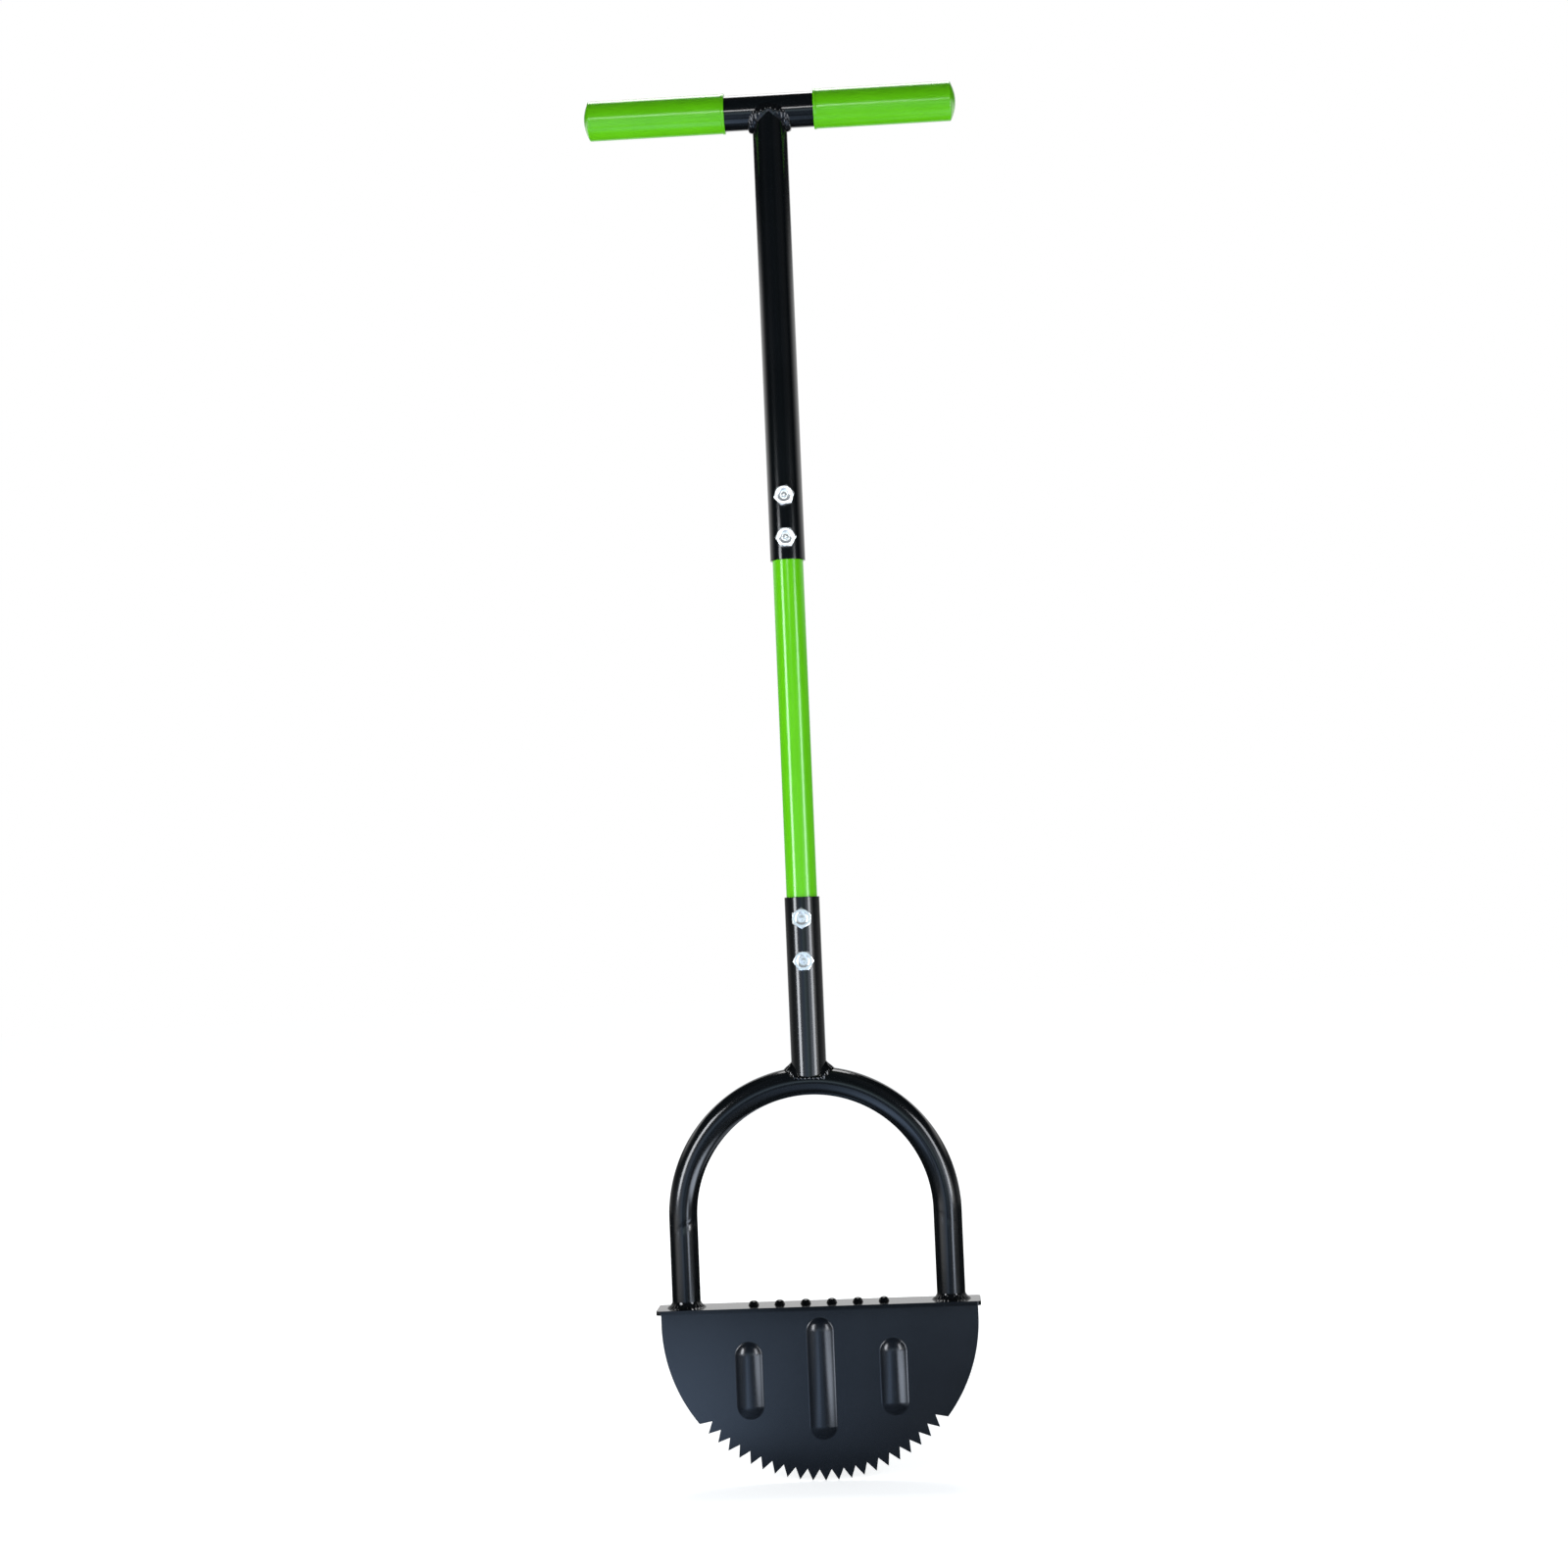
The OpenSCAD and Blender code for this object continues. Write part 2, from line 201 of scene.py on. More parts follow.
room = bpy.data.worlds.new("white_room")
scene.world = room
tree = empty_tree(room)
colour = add_node(tree, "Mix", {"data_type": "RGBA", 6: ROOM_FILL, 7: WHITE},
                  {0: seen_directly(tree)})
light = add_node(tree, "Background", {"Strength": 1.0}, {"Color": colour.outputs[2]})
add_node(tree, "OutputWorld", None, {"Surface": light.outputs[0]})
print("light in the room, linear:", [round(part, 2) for part in ROOM_FILL[:3]])

# %% [markdown]
# ## Light tent
# Black gloss shows what stands around it. A photographer puts dark and pale screens round the tool to draw
# its form. Many small cards would do, but one round tent is easier to tune. It is open behind, and only
# glossy rays can see it. Its wall and its floor have soft bands by the angle from the front. The floor is
# dark close behind the blade and in a gap between its near and its far part. The wall fades to dark above the
# middle of the handle, apart from a pale zone to the sides and behind, which draws the rims of the upper
# tube.

# %% Put up the tent
TENT_R, TENT_SIDES, TENT_TOP, TENT_OPEN, TENT_FLOOR = 2.4, 96, 2.6, 2.1, 0.0004

bpy.ops.object.select_all(action="DESELECT")
bpy.ops.mesh.primitive_cylinder_add(vertices=TENT_SIDES, radius=TENT_R, depth=TENT_TOP - TENT_FLOOR,
                                    location=(0, 0, (TENT_TOP + TENT_FLOOR) / 2))
tent = bpy.context.object
tent.name = "light_tent"
bpy.ops.object.transform_apply(location=True, rotation=True, scale=True)
bpy.ops.object.mode_set(mode="EDIT")
bpy.ops.mesh.select_all(action="SELECT")
bpy.ops.mesh.bisect(plane_co=(0, TENT_OPEN, 0), plane_no=(0, 1, 0), clear_outer=True)
bpy.ops.object.mode_set(mode="OBJECT")
tent.visible_camera = tent.visible_diffuse = tent.visible_shadow = tent.visible_transmission = False
print("tent radius in m:", TENT_R)

# %% Choose the bands
# A band is an angle from the front in degrees, a brightness and a tint.
TENT_SPAN, TENT_PEAK = 120, 9.0
PLAIN, COOL, BLUE, TEAL = "#FFFFFF", "#E3EEFF", "#BCD8FF", "#D2EEF8"
WALL = [(-120, 0.35, PLAIN), (-90, 0.12, PLAIN), (-66, 0.2, PLAIN), (-47, 2.2, COOL), (-30, 1.0, COOL),
        (-12, 1.1, BLUE), (0, 1.3, TEAL), (16, 0.6, TEAL), (30, 2.4, COOL), (58, 2.4, PLAIN),
        (76, 0.1, PLAIN), (120, 0.35, PLAIN)]
FAR_FLOOR = [(-120, 0.2, PLAIN), (-80, 0.15, PLAIN), (-60, 1.3, PLAIN), (-25, 1.2, COOL), (-9, 1.3, BLUE),
             (-6, 0.3, BLUE), (0, 0.25, BLUE), (5, 0.6, BLUE), (20, 0.3, COOL), (28, 0.5, COOL),
             (35, 7.5, COOL), (40, 5.5, COOL), (48, 0.2, PLAIN), (120, 0.2, PLAIN)]
NEAR_FLOOR = [(-40, 0.1, PLAIN), (-17, 0.3, BLUE), (-10, 2.4, BLUE), (-3, 0.75, BLUE), (1, 0.5, BLUE),
              (6, 0.18, COOL), (13, 0.05, COOL), (17, 6.0, COOL), (22, 7.5, COOL), (32, 6.5, COOL),
              (42, 0.2, PLAIN)]
NEAR_CENTRE, NEAR_END, FAR_START = 0.5, 0.6, 0.85
# These pair a height or a distance in metres with the share of light that is left there.
FADE = [(0.0, 1.0), (0.34, 1.0), (0.42, 0.6), (0.65, 0.3), (0.95, 0.03)]
GAP = [(0.66, 1.0), (0.73, 0.08), (0.88, 0.08), (0.95, 1.0)]
RIM_HEIGHTS = [(0.75, 0.0), (1.05, 1.0), (1.4, 1.0), (1.54, 0.0)]
RIM_START, RIM_END, RIM_GAIN = -0.35, 0.9, 3.6
BEHIND_START, BEHIND_END, BEHIND_LEFT = -0.18, -0.06, 0.12
print("bands on the wall and the floor:", len(WALL), len(FAR_FLOOR), len(NEAR_FLOOR))


# %% Helpers for the bands
def ramp_of(tree, value, stops):
    """A colour ramp over a value from 0 to 1, with its stops given as (place, colour)."""
    ramp = add_node(tree, "ValToRGB", None, {"Fac": value})
    for i, (place, colour) in enumerate(stops):
        stop = ramp.color_ramp.elements[i] if i < 2 else ramp.color_ramp.elements.new(1.0)
        stop.position, stop.color = place, colour
    return ramp.outputs["Color"]


def grey_ramp(tree, value, stops, whole=1.0):
    """A ramp of greys, with its stops given as (place, level) on a scale that ends at whole."""
    return ramp_of(tree, value, [(place / whole, (level, level, level, 1.0)) for place, level in stops])


def dyed(tree, where, bands, centre):
    """Bands of colour by the angle from the front, about a point that lies a distance behind the shaft."""
    front = add_node(tree, "Math", {"operation": "SUBTRACT", 0: centre}, {1: where.outputs["Y"]})
    angle = add_node(tree, "Math", {"operation": "ARCTAN2"},
                     {0: where.outputs["X"], 1: front.outputs[0]})
    span = math.radians(TENT_SPAN)
    share = add_node(tree, "MapRange", {"From Min": -span, "From Max": span},
                     {"Value": angle.outputs[0]})
    stops = []
    for degrees, level, tint in bands:
        dye = [level / TENT_PEAK * part for part in linear(tint)[:3]] + [1.0]
        stops.append(((degrees + TENT_SPAN) / (2 * TENT_SPAN), dye))
    return ramp_of(tree, share.outputs["Result"], stops)


# %% Dye the cloth
tent_cloth = bpy.data.materials.new("banded tent cloth")
tree = empty_tree(tent_cloth)
point = add_node(tree, "TexCoord").outputs["Object"]
where = add_node(tree, "SeparateXYZ", None, {0: point})
away = add_node(tree, "VectorMath", {"operation": "LENGTH"}, {0: point}).outputs["Value"]
far = add_node(tree, "MapRange", {"From Min": NEAR_END, "From Max": FAR_START}, {"Value": away})
upright = add_node(tree, "Math", {"operation": "GREATER_THAN", 1: 2 * TENT_FLOOR},
                   {0: where.outputs["Z"]})
ground = add_node(tree, "Mix", {"data_type": "RGBA"},
                  {0: far.outputs["Result"], 6: dyed(tree, where, NEAR_FLOOR, NEAR_CENTRE),
                   7: dyed(tree, where, FAR_FLOOR, 0.0)})
behind = add_node(tree, "MapRange",
                  {"From Min": BEHIND_START, "From Max": BEHIND_END, "To Min": 1.0, "To Max": BEHIND_LEFT},
                  {"Value": where.outputs["Y"]})
shaded = add_node(tree, "Mix", {"data_type": "RGBA", "blend_type": "MULTIPLY", 0: 1.0},
                  {6: ground.outputs[2], 7: behind.outputs["Result"]})
colour = add_node(tree, "Mix", {"data_type": "RGBA"},
                  {0: upright.outputs[0], 6: shaded.outputs[2], 7: dyed(tree, where, WALL, 0.0)})

# %% Set how bright the cloth is
height = add_node(tree, "Math", {"operation": "DIVIDE", 1: TENT_TOP}, {0: where.outputs["Z"]})
fade = grey_ramp(tree, height.outputs[0], FADE, TENT_TOP)
floor_gap = grey_ramp(tree, away, GAP)
to_rear = add_node(tree, "MapRange", {"From Min": RIM_START, "From Max": RIM_END},
                   {"Value": where.outputs["Y"]})
high_zone = grey_ramp(tree, height.outputs[0], RIM_HEIGHTS, TENT_TOP)
pale_zone = add_node(tree, "Math", {"operation": "MULTIPLY"},
                     {0: to_rear.outputs["Result"], 1: high_zone})
lifted = add_node(tree, "Math", {"operation": "MULTIPLY_ADD", 1: RIM_GAIN},
                  {0: pale_zone.outputs[0], 2: fade})
level = add_node(tree, "Math", {"operation": "MULTIPLY"}, {0: lifted.outputs[0], 1: floor_gap})
bright = add_node(tree, "Math", {"operation": "MULTIPLY", 1: TENT_PEAK}, {0: level.outputs[0]})
cloth = add_node(tree, "Emission", None,
                 {"Color": colour.outputs[2], "Strength": bright.outputs[0]})
add_node(tree, "OutputMaterial", None, {"Surface": cloth.outputs[0]})
tent.data.materials.append(tent_cloth)
print("cloth nodes:", len(tree.nodes))

# %% [markdown]
# ## Softboxes
# Two upright softboxes draw the long lines on the tubes, a bright one on the left and a dimmer one on the
# right. A strip in front draws the line along the crossbar and the grips: it has a honeycomb grid, so it
# shines on little below them. A box above and behind lights the upper edges and the welds. A wide fill in
# front lights the colours evenly and leaves no mark in the gloss. Point lamps would give hard spots instead
# of lines.

# %% Hang the softboxes
NO_GRID = 180


def softbox(name, place, aim, width, height, brightness, colour, in_gloss=True, grid=NO_GRID):
    """A lamp turned to the point it lights. Its power follows from its brightness and its grid's angle."""
    lamp = bpy.data.lights.new(name, "AREA")
    lamp.shape, lamp.size, lamp.size_y = "RECTANGLE", width, height
    half = math.radians(grid) / 2
    gain = math.tan(half) / (math.tan(half) - half) if grid < NO_GRID else 1.0
    lamp.spread = 2 * half
    lamp.energy, lamp.color = brightness * math.pi * width * height / gain, linear(colour)[:3]
    box = bpy.data.objects.new(name, lamp)
    scene.collection.objects.link(box)
    box.location = place
    box.rotation_euler = (Vector(aim) - Vector(place)).to_track_quat("-Z", "Y").to_euler()
    box.visible_camera, box.visible_glossy = False, in_gloss


def around(degrees, distance, height):
    """A place at a distance from the shaft, turned from the front to the right by an angle."""
    a = math.radians(degrees)
    return (distance * math.sin(a), -distance * math.cos(a), height)


softbox("left_strip", around(-47, 1.0, 0.50), (0, 0, 0.50), 0.26, 0.62, 13.0, "#F7FAFF")
softbox("right_box", around(48, 1.0, 0.46), (0, 0, 0.46), 0.25, 0.62, 8.5, "#F4F8FF")
softbox("front_strip", (-0.35, -2.2, 1.0), (-0.22, 0, 0.98), 1.0, 0.22, 14.0, "#FFFFFF", grid=25)
softbox("top_box", (0, 0.9, 2.3), (0, 0, 0.4), 1.2, 0.8, 6.0, "#FFFFFF")
softbox("front_fill", (-0.3, -2.4, 0.75), (0, 0, 0.5), 2.4, 1.6, 0.55, "#FFFFFF", in_gloss=False)

# %% [markdown]
# ## Finishes
# The steel tubes and the blade wear a black gloss enamel that was sprayed and stoved: it flows almost level
# and keeps a faint orange peel, a few millimetres wide. Runs of weld lie under the same enamel, a touch
# thicker. The middle tube has a bright green enamel, the grips are moulded soft plastic of nearly the same
# green, and the bolts are steel with a bright zinc plate. Noise in object space needs no unwrapping and
# doesn't stretch.

# %% Mix the enamels
GLOSS_IOR, CLOUD_MM, PEEL_STRENGTH = 1.52, 45, 0.35


def coat(tree, shader, tone, gloss, bump):
    """Link a colour, a roughness and a bump to a shader."""
    for socket, output in (("Base Color", tone.outputs[2]), ("Roughness", gloss.outputs["Result"]),
                           ("Normal", bump.outputs["Normal"])):
        tree.links.new(output, shader.inputs[socket])


def enamel(name, dark, pale, roughness, peel_mm, peel_depth):
    """A sprayed gloss paint: two close tones in soft clouds, uneven gloss and a fine orange peel."""
    material, tree, shader, place = new_material(name)
    clouds = add_node(tree, "TexNoise", {"Scale": grains(CLOUD_MM), "Detail": 3.0},
                      {"Vector": place})
    tone = add_node(tree, "Mix", {"data_type": "RGBA", 6: linear(dark), 7: linear(pale)},
                    {0: clouds.outputs["Fac"]})
    gloss = add_node(tree, "MapRange", {"To Min": roughness[0], "To Max": roughness[1]},
                     {"Value": clouds.outputs["Fac"]})
    peel = add_node(tree, "TexNoise", {"Scale": grains(peel_mm), "Detail": 1.5}, {"Vector": place})
    bump = add_node(tree, "Bump", {"Strength": PEEL_STRENGTH, "Distance": peel_depth * MM},
                    {"Height": peel.outputs["Fac"]})
    coat(tree, shader, tone, gloss, bump)
    shader.inputs["IOR"].default_value = GLOSS_IOR
    return material


black_enamel = enamel("black stoved enamel", "#060809", "#0C0F12", (0.10, 0.18), 2.2, 0.035)
# The blade wears the tubes' black enamel. This copy is drawn lighter and bluer, a painted bluish reflection
# of the floor in front, on top of the real one.
blade_enamel_painted_sheen = enamel("black enamel with painted blue sheen", "#0E1217", "#151A21", (0.17, 0.27), 2.2, 0.035)
weld_enamel = enamel("black enamel over weld", "#050607", "#0A0B0D", (0.05, 0.10), 1.5, 0.1)
green_enamel = enamel("green stoved enamel", "#57B806", "#60C10C", (0.13, 0.21), 2.2, 0.035)

# %% Mould the grip plastic and plate the zinc
# A mould leaves a finer grain than this. It is drawn coarse here, so that it shows.
GRIP_CLOUD_MM, GRIP_GRAIN_MM, MOTTLE_MM, PLATE_METAL = 30, 0.7, 3, 0.75


def grip_plastic():
    """Soft moulded PVC: satin, with a fine matt grain that the mould left."""
    material, tree, shader, place = new_material("green moulded plastic")
    clouds = add_node(tree, "TexNoise", {"Scale": grains(GRIP_CLOUD_MM), "Detail": 2.0},
                      {"Vector": place})
    tone = add_node(tree, "Mix", {"data_type": "RGBA", 6: linear("#50A900"), 7: linear("#5AB504")},
                    {0: clouds.outputs["Fac"]})
    grain = add_node(tree, "TexNoise", {"Scale": grains(GRIP_GRAIN_MM), "Detail": 2.0},
                     {"Vector": place})
    gloss = add_node(tree, "MapRange", {"To Min": 0.17, "To Max": 0.25},
                     {"Value": grain.outputs["Fac"]})
    bump = add_node(tree, "Bump", {"Strength": 0.25, "Distance": 0.03 * MM},
                    {"Height": grain.outputs["Fac"]})
    coat(tree, shader, tone, gloss, bump)
    shader.inputs["IOR"].default_value = GLOSS_IOR
    return material


def zinc_plate():
    """Bright zinc on steel: a clean pale metal with a cool tint and a slightly mottled gloss."""
    material, tree, shader, place = new_material("bright zinc plate")
    mottle = add_node(tree, "TexNoise", {"Scale": grains(MOTTLE_MM), "Detail": 4.0},
                      {"Vector": place})
    tone = add_node(tree, "Mix", {"data_type": "RGBA", 6: linear("#DCE6E8"), 7: linear("#FFFFFF")},
                    {0: mottle.outputs["Fac"]})
    gloss = add_node(tree, "MapRange", {"To Min": 0.16, "To Max": 0.32},
                     {"Value": mottle.outputs["Fac"]})
    bump = add_node(tree, "Bump", {"Strength": 0.2, "Distance": 0.02 * MM},
                    {"Height": mottle.outputs["Fac"]})
    coat(tree, shader, tone, gloss, bump)
    shader.inputs["Metallic"].default_value = PLATE_METAL
    return material


grip_green, zinc = grip_plastic(), zinc_plate()
print("finishes:", [m.name for m in bpy.data.materials if "floor" not in m.name])

# %% [markdown]
# ## A few ways of working
# Each piece starts with nothing selected. In edit mode, points, edges or faces are picked by a test of their
# place or normal. Modifiers are applied at once, so the mesh holds the finished shape. The last step gives a
# piece its name, finish and body, and weights its normals by area, so that a small bevel doesn't bend the
# light on a long face.


# %% Helpers for picking
def start_clean(piece=None):
    """Leave edit mode and drop the selection. A piece that is given becomes the only one selected."""
    if bpy.context.mode != "OBJECT":
        bpy.ops.object.mode_set(mode="OBJECT")
    bpy.ops.object.select_all(action="DESELECT")
    if piece:
        piece.select_set(True)
        bpy.context.view_layer.objects.active = piece


def open_up(piece):
    """Go to edit mode on one piece, with all of it selected."""
    start_clean(piece)
    bpy.ops.object.mode_set(mode="EDIT")
    bpy.ops.mesh.select_all(action="SELECT")


def close_up(piece, merge=0):
    """In edit mode, merge points closer than a distance, turn the faces outwards, and leave edit mode."""
    bpy.ops.mesh.select_all(action="SELECT")
    if merge:
        bpy.ops.mesh.remove_doubles(threshold=merge)
    bpy.ops.mesh.normals_make_consistent(inside=False)
    start_clean(piece)


def pick(piece, kind, test):
    """In edit mode, select the VERT, EDGE or FACE items that pass a test, and count them."""
    bpy.ops.mesh.select_mode(type=kind)
    bpy.ops.mesh.select_all(action="DESELECT")
    shape = bmesh.from_edit_mesh(piece.data)
    items = [i for i in {"VERT": shape.verts, "EDGE": shape.edges, "FACE": shape.faces}[kind] if test(i)]
    for item in items:
        item.select_set(True)
    shape.select_flush_mode()
    bmesh.update_edit_mesh(piece.data)
    return len(items)


# %% Helpers for changing and finishing a piece
def modify(piece, kind, **settings):
    """Add a modifier with its settings and apply it."""
    start_clean(piece)
    modifier = piece.modifiers.new(kind, kind)
    for name, value in settings.items():
        setattr(modifier, name, value)
    bpy.ops.object.modifier_apply(modifier=modifier.name)


def carve(piece, tool, operation="DIFFERENCE"):
    """Cut a piece by another one, or join or intersect them, and throw the tool away."""
    modify(piece, "BOOLEAN", object=tool, operation=operation, solver="EXACT")
    bpy.data.objects.remove(tool)


def settle(piece):
    """Put the object's place, turn and scale into its mesh."""
    start_clean(piece)
    bpy.ops.object.transform_apply(location=True, rotation=True, scale=True)


def made(add, **settings):
    """Add a basic mesh with nothing else selected, and put its place and turn into the mesh."""
    start_clean()
    add(**settings)
    settle(bpy.context.object)
    return bpy.context.object


def done(piece, name, finish, slot, *nodes, angle=35):
    """Name a finished piece, smooth it, give it its finish, and hide the solids it stands for."""
    settle(piece)
    piece.name = piece.data.name = name
    bpy.ops.object.shade_smooth_by_angle(angle=math.radians(angle))
    modify(piece, "WEIGHTED_NORMAL", keep_sharp=True, weight=50)
    piece.data.materials.clear()
    piece.data.materials.append(finish)
    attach(piece, "root")
    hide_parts(*nodes)
    size = [round(v / MM, 1) for v in piece.dimensions]
    print(name, "faces:", len(piece.data.polygons), "size in mm:", size)


# %% [markdown]
# ## Lathe and tube
# Round pieces are turned: a ring is extruded from one station of a profile to the next and scaled to its
# radius. A bevelled curve could do it too, but here each ring lies where its station says. A tube is an open
# cylinder with a wall from Solidify, and a small bevel breaks its rims, as a file would.


# %% Helpers for turning
def turned(profile, sides=96, ring=False):
    """Turn (radius, height) stations about Z. A ring is closed from its last station to the first."""
    radius, height = profile[0]
    piece = made(bpy.ops.mesh.primitive_circle_add, vertices=sides, radius=radius, location=(0, 0, height))
    open_up(piece)
    for next_radius, next_height in profile[1:]:
        bpy.ops.mesh.extrude_region_move(TRANSFORM_OT_translate={"value": (0, 0, next_height - height)})
        factor = next_radius / radius
        bpy.ops.transform.resize(value=(factor, factor, 1), center_override=(0, 0, next_height))
        radius, height = next_radius, next_height
    pick(piece, "EDGE", lambda e: len(e.link_faces) == 1)
    if ring:
        bpy.ops.mesh.bridge_edge_loops()
    else:
        bpy.ops.mesh.fill_holes(sides=0)
    close_up(piece)
    return piece


def arc(radius, height, size, start, end, steps):
    """Stations on a round edge of a given size about (radius, height), between two angles in degrees."""
    turns = [math.radians(start + (end - start) * i / steps) for i in range(steps + 1)]
    return [(radius + size * math.cos(t), height + size * math.sin(t)) for t in turns]


# %% Helpers for tubes and rods
# Points that lie within CLOSE of each other count as one place.
TUBE_SIDES, RIM_BREAK, CLOSE = 128, 0.3 * MM, 0.01 * MM
ALONG_X, ALONG_Y = (0, math.pi / 2, 0), (math.pi / 2, 0, 0)


def tube(radius, wall, low, high):
    """A piece of drawn tube along Z, with its rims broken."""
    piece = made(bpy.ops.mesh.primitive_cylinder_add, vertices=TUBE_SIDES, radius=radius, depth=high - low,
                 end_fill_type="NOTHING", location=(0, 0, (low + high) / 2))
    modify(piece, "SOLIDIFY", thickness=wall, offset=-1)
    open_up(piece)
    pick(piece, "EDGE", lambda e: any(all(abs(v.co.z - z) < CLOSE for v in e.verts) for z in (low, high))
         and abs(e.verts[0].co.xy.length - e.verts[1].co.xy.length) < CLOSE)
    bpy.ops.mesh.bevel(offset=RIM_BREAK, segments=3, affect="EDGES")
    start_clean(piece)
    return piece


def rod(radius, place, length, turn=(0, 0, 0), sides=64):
    """A plain round bar, for a cutter or a bead."""
    return made(bpy.ops.mesh.primitive_cylinder_add, vertices=sides, radius=radius, depth=length,
                location=place, rotation=turn)


# %% [markdown]
# ## Handle tubes
# The handle is three tubes that slip into each other. The socket and the upper tube are black and 25 mm
# across. The green middle tube is 22 mm across and shows between them. Two bolts cross each joint from front
# to back. The upper tube's top is cut to a saddle where the crossbar is welded on: a bar of the crossbar's
# own size cuts it, so it fits without being measured.

# %% Cut and drill the tubes
BOLT_R = 4.0 * MM
HOLE_SLACK = 0.1 * MM
SHAFT_WALL, MIDDLE_WALL, SADDLE_TRIM = 1.4 * MM, 1.2 * MM, 2.5 * MM
DRILL_LENGTH, SADDLE_LENGTH = 4 * shaft_r, 8 * shaft_r
bolt_heights = [sum(reach(f"hex_nut_{i}", 2)) / 2 for i in (1, 2, 3, 4)]


def drill(piece, heights):
    """Drill bolt holes from front to back."""
    for z in heights:
        carve(piece, rod(BOLT_R + HOLE_SLACK, (0, 0, z), DRILL_LENGTH, ALONG_Y))


socket_sleeve = tube(shaft_r, SHAFT_WALL, socket_low, socket_rim)
drill(socket_sleeve, bolt_heights[2:])
middle_shaft = tube(middle_r, MIDDLE_WALL, middle_low, middle_top)
drill(middle_shaft, bolt_heights)
upper_shaft = tube(shaft_r, SHAFT_WALL, upper_rim, bar_z - SADDLE_TRIM)
drill(upper_shaft, bolt_heights[:2])
carve(upper_shaft, rod(bar_r, (0, 0, bar_z), SADDLE_LENGTH, ALONG_X, TUBE_SIDES))
hoop_bar = rod(hoop_tube_r, (0, 0, hoop_top - hoop_tube_r), SADDLE_LENGTH, ALONG_X, TUBE_SIDES)
carve(socket_sleeve, hoop_bar)
done(socket_sleeve, "socket_sleeve", black_enamel, "black_enamel", "socket_tube")
done(middle_shaft, "middle_shaft", green_enamel, "green_enamel", "middle_tube")
done(upper_shaft, "upper_shaft", black_enamel, "black_enamel", "upper_tube")

# %% [markdown]
# ## Crossbar and grips
# The crossbar is a plain tube, welded across the top. Each grip is a sleeve pushed over its end, with a small
# lip at the inner end and a domed outer end. A bevelled cylinder would lack the lip, so the grip is turned
# upright from a profile and then laid along X.

# %% Lay the crossbar
cross_handle = tube(bar_r, SHAFT_WALL, -bar_end, bar_end)
cross_handle.rotation_euler = ALONG_X
cross_handle.location = (0, 0, bar_z)
done(cross_handle, "cross_handle", black_enamel, "black_enamel", "crossbar")

# %% Turn the grips
GRIP_SLACK, LIP_RISE, LIP_WIDTH = 0.05 * MM, 0.4 * MM, 2.0 * MM
LIP_ROUND, LIP_FOOT, BORE_BREAK = 0.5 * MM, 0.4 * MM, 0.3 * MM
RIM_ROUND, RIM_SINK, DOME_RISE, DOME_RINGS = 1.0 * MM, 0.4, 4.0 * MM, 16

grip_in, grip_out = reach("grip_right", 0)
grip_r = (reach("grip_right", 2)[1] - reach("grip_right", 2)[0]) / 2 - LIP_RISE
grip_len = grip_out - grip_in
lip_r = grip_r + LIP_RISE
dome_low = grip_len - DOME_RISE
seat = bar_end - grip_in + GRIP_SLACK
bore_r = bar_r + GRIP_SLACK
grip_profile = [(bore_r, seat), (bore_r, BORE_BREAK), (bore_r + BORE_BREAK, 0)]
grip_profile += arc(lip_r - LIP_ROUND, LIP_ROUND, LIP_ROUND, -90, 0, 4)
grip_profile += arc(lip_r - LIP_ROUND, LIP_WIDTH - LIP_ROUND, LIP_ROUND, 0, 70, 4)
grip_profile += [(grip_r, LIP_WIDTH + LIP_FOOT), (grip_r, grip_len / 2)]
grip_profile += arc(grip_r - RIM_ROUND, dome_low - RIM_ROUND * RIM_SINK, RIM_ROUND, 0, 55, 6)
cap_r, cap_z = grip_profile[-1]
for i in range(1, DOME_RINGS):
    share = 1 - i / DOME_RINGS
    grip_profile.append((cap_r * share, cap_z + (grip_len - cap_z) * (1 - share * share)))

for side, name, node in ((1, "right_grip_sleeve", "grip_right"), (-1, "left_grip_sleeve", "grip_left")):
    grip = turned(grip_profile)
    grip.rotation_euler = (0, side * math.pi / 2, 0)
    grip.location = (side * grip_in, 0, bar_z)
    done(grip, name, grip_green, "green_grip", node)

# %% [markdown]
# ## Hoop
# One tube is bent to a half circle with two straight legs. A ring of points is extruded up the left leg, spun
# half a turn about the middle of the bend, and extruded down the right leg, which leaves even rings. The
# bender left a small slanting crease across the front of each bend's end, deeper on the left, which is
# pressed in afterwards.

# %% Bend the hoop
HOOP_WALL = 2.0 * MM
HOOP_SIDES, LEG_STEPS, BEND_STEPS = 72, 80, 120

hoop_tube = made(bpy.ops.mesh.primitive_circle_add, vertices=HOOP_SIDES, radius=hoop_tube_r,
                 location=(-hoop_r, 0, plate_top))
open_up(hoop_tube)
leg = arc_z - plate_top
for i in range(LEG_STEPS):
    bpy.ops.mesh.extrude_region_move(TRANSFORM_OT_translate={"value": (0, 0, leg / LEG_STEPS)})
bpy.ops.mesh.spin(steps=BEND_STEPS, angle=-math.pi, center=(0, 0, arc_z), axis=(0, 1, 0))
for i in range(LEG_STEPS):
    bpy.ops.mesh.extrude_region_move(TRANSFORM_OT_translate={"value": (0, 0, -leg / LEG_STEPS)})
close_up(hoop_tube, CLOSE)
print("hoop top in mm:", round(max(v.co.z for v in hoop_tube.data.vertices) / MM, 2))

# %% Press in the bender's creases and give the hoop its wall
CREASE_DEPTH = {-1: 0.5 * MM, 1: 0.2 * MM}
CREASE_WIDTH, CREASE_DROP, CREASE_SLANT, CREASE_FADE = 3.2 * MM, 6.0 * MM, 0.5, 1.5

